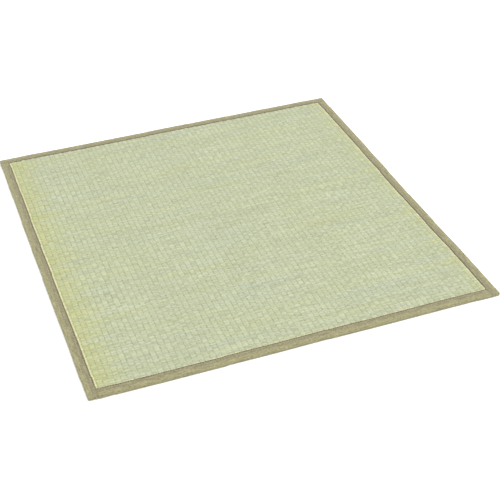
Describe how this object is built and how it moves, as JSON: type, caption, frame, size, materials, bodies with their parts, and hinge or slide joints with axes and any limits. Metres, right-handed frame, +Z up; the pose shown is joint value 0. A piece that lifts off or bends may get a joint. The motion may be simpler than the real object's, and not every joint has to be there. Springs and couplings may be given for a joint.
{
  "type": "tatami mat",
  "caption": "Square woven rush floor mat with a cloth tape folded over each edge, lying flat.",
  "frame": {"origin": "centre of the underside", "axes": "+Z up, +Y from the front edge to the back edge, so the woven columns run along Y and the rushes along X"},
  "size_m": [0.88, 0.88, 0.008],
  "materials": {
    "woven_rush": "matte, plain woven dried rush",
    "olive_tape": "matte, fine plain weave tape"
  },
  "bodies": {
    "root": {"rush_field": "woven_rush", "tape_front": "olive_tape", "tape_left": "olive_tape", "tape_right": "olive_tape", "tape_back": "olive_tape"}
  },
  "joints": []
}
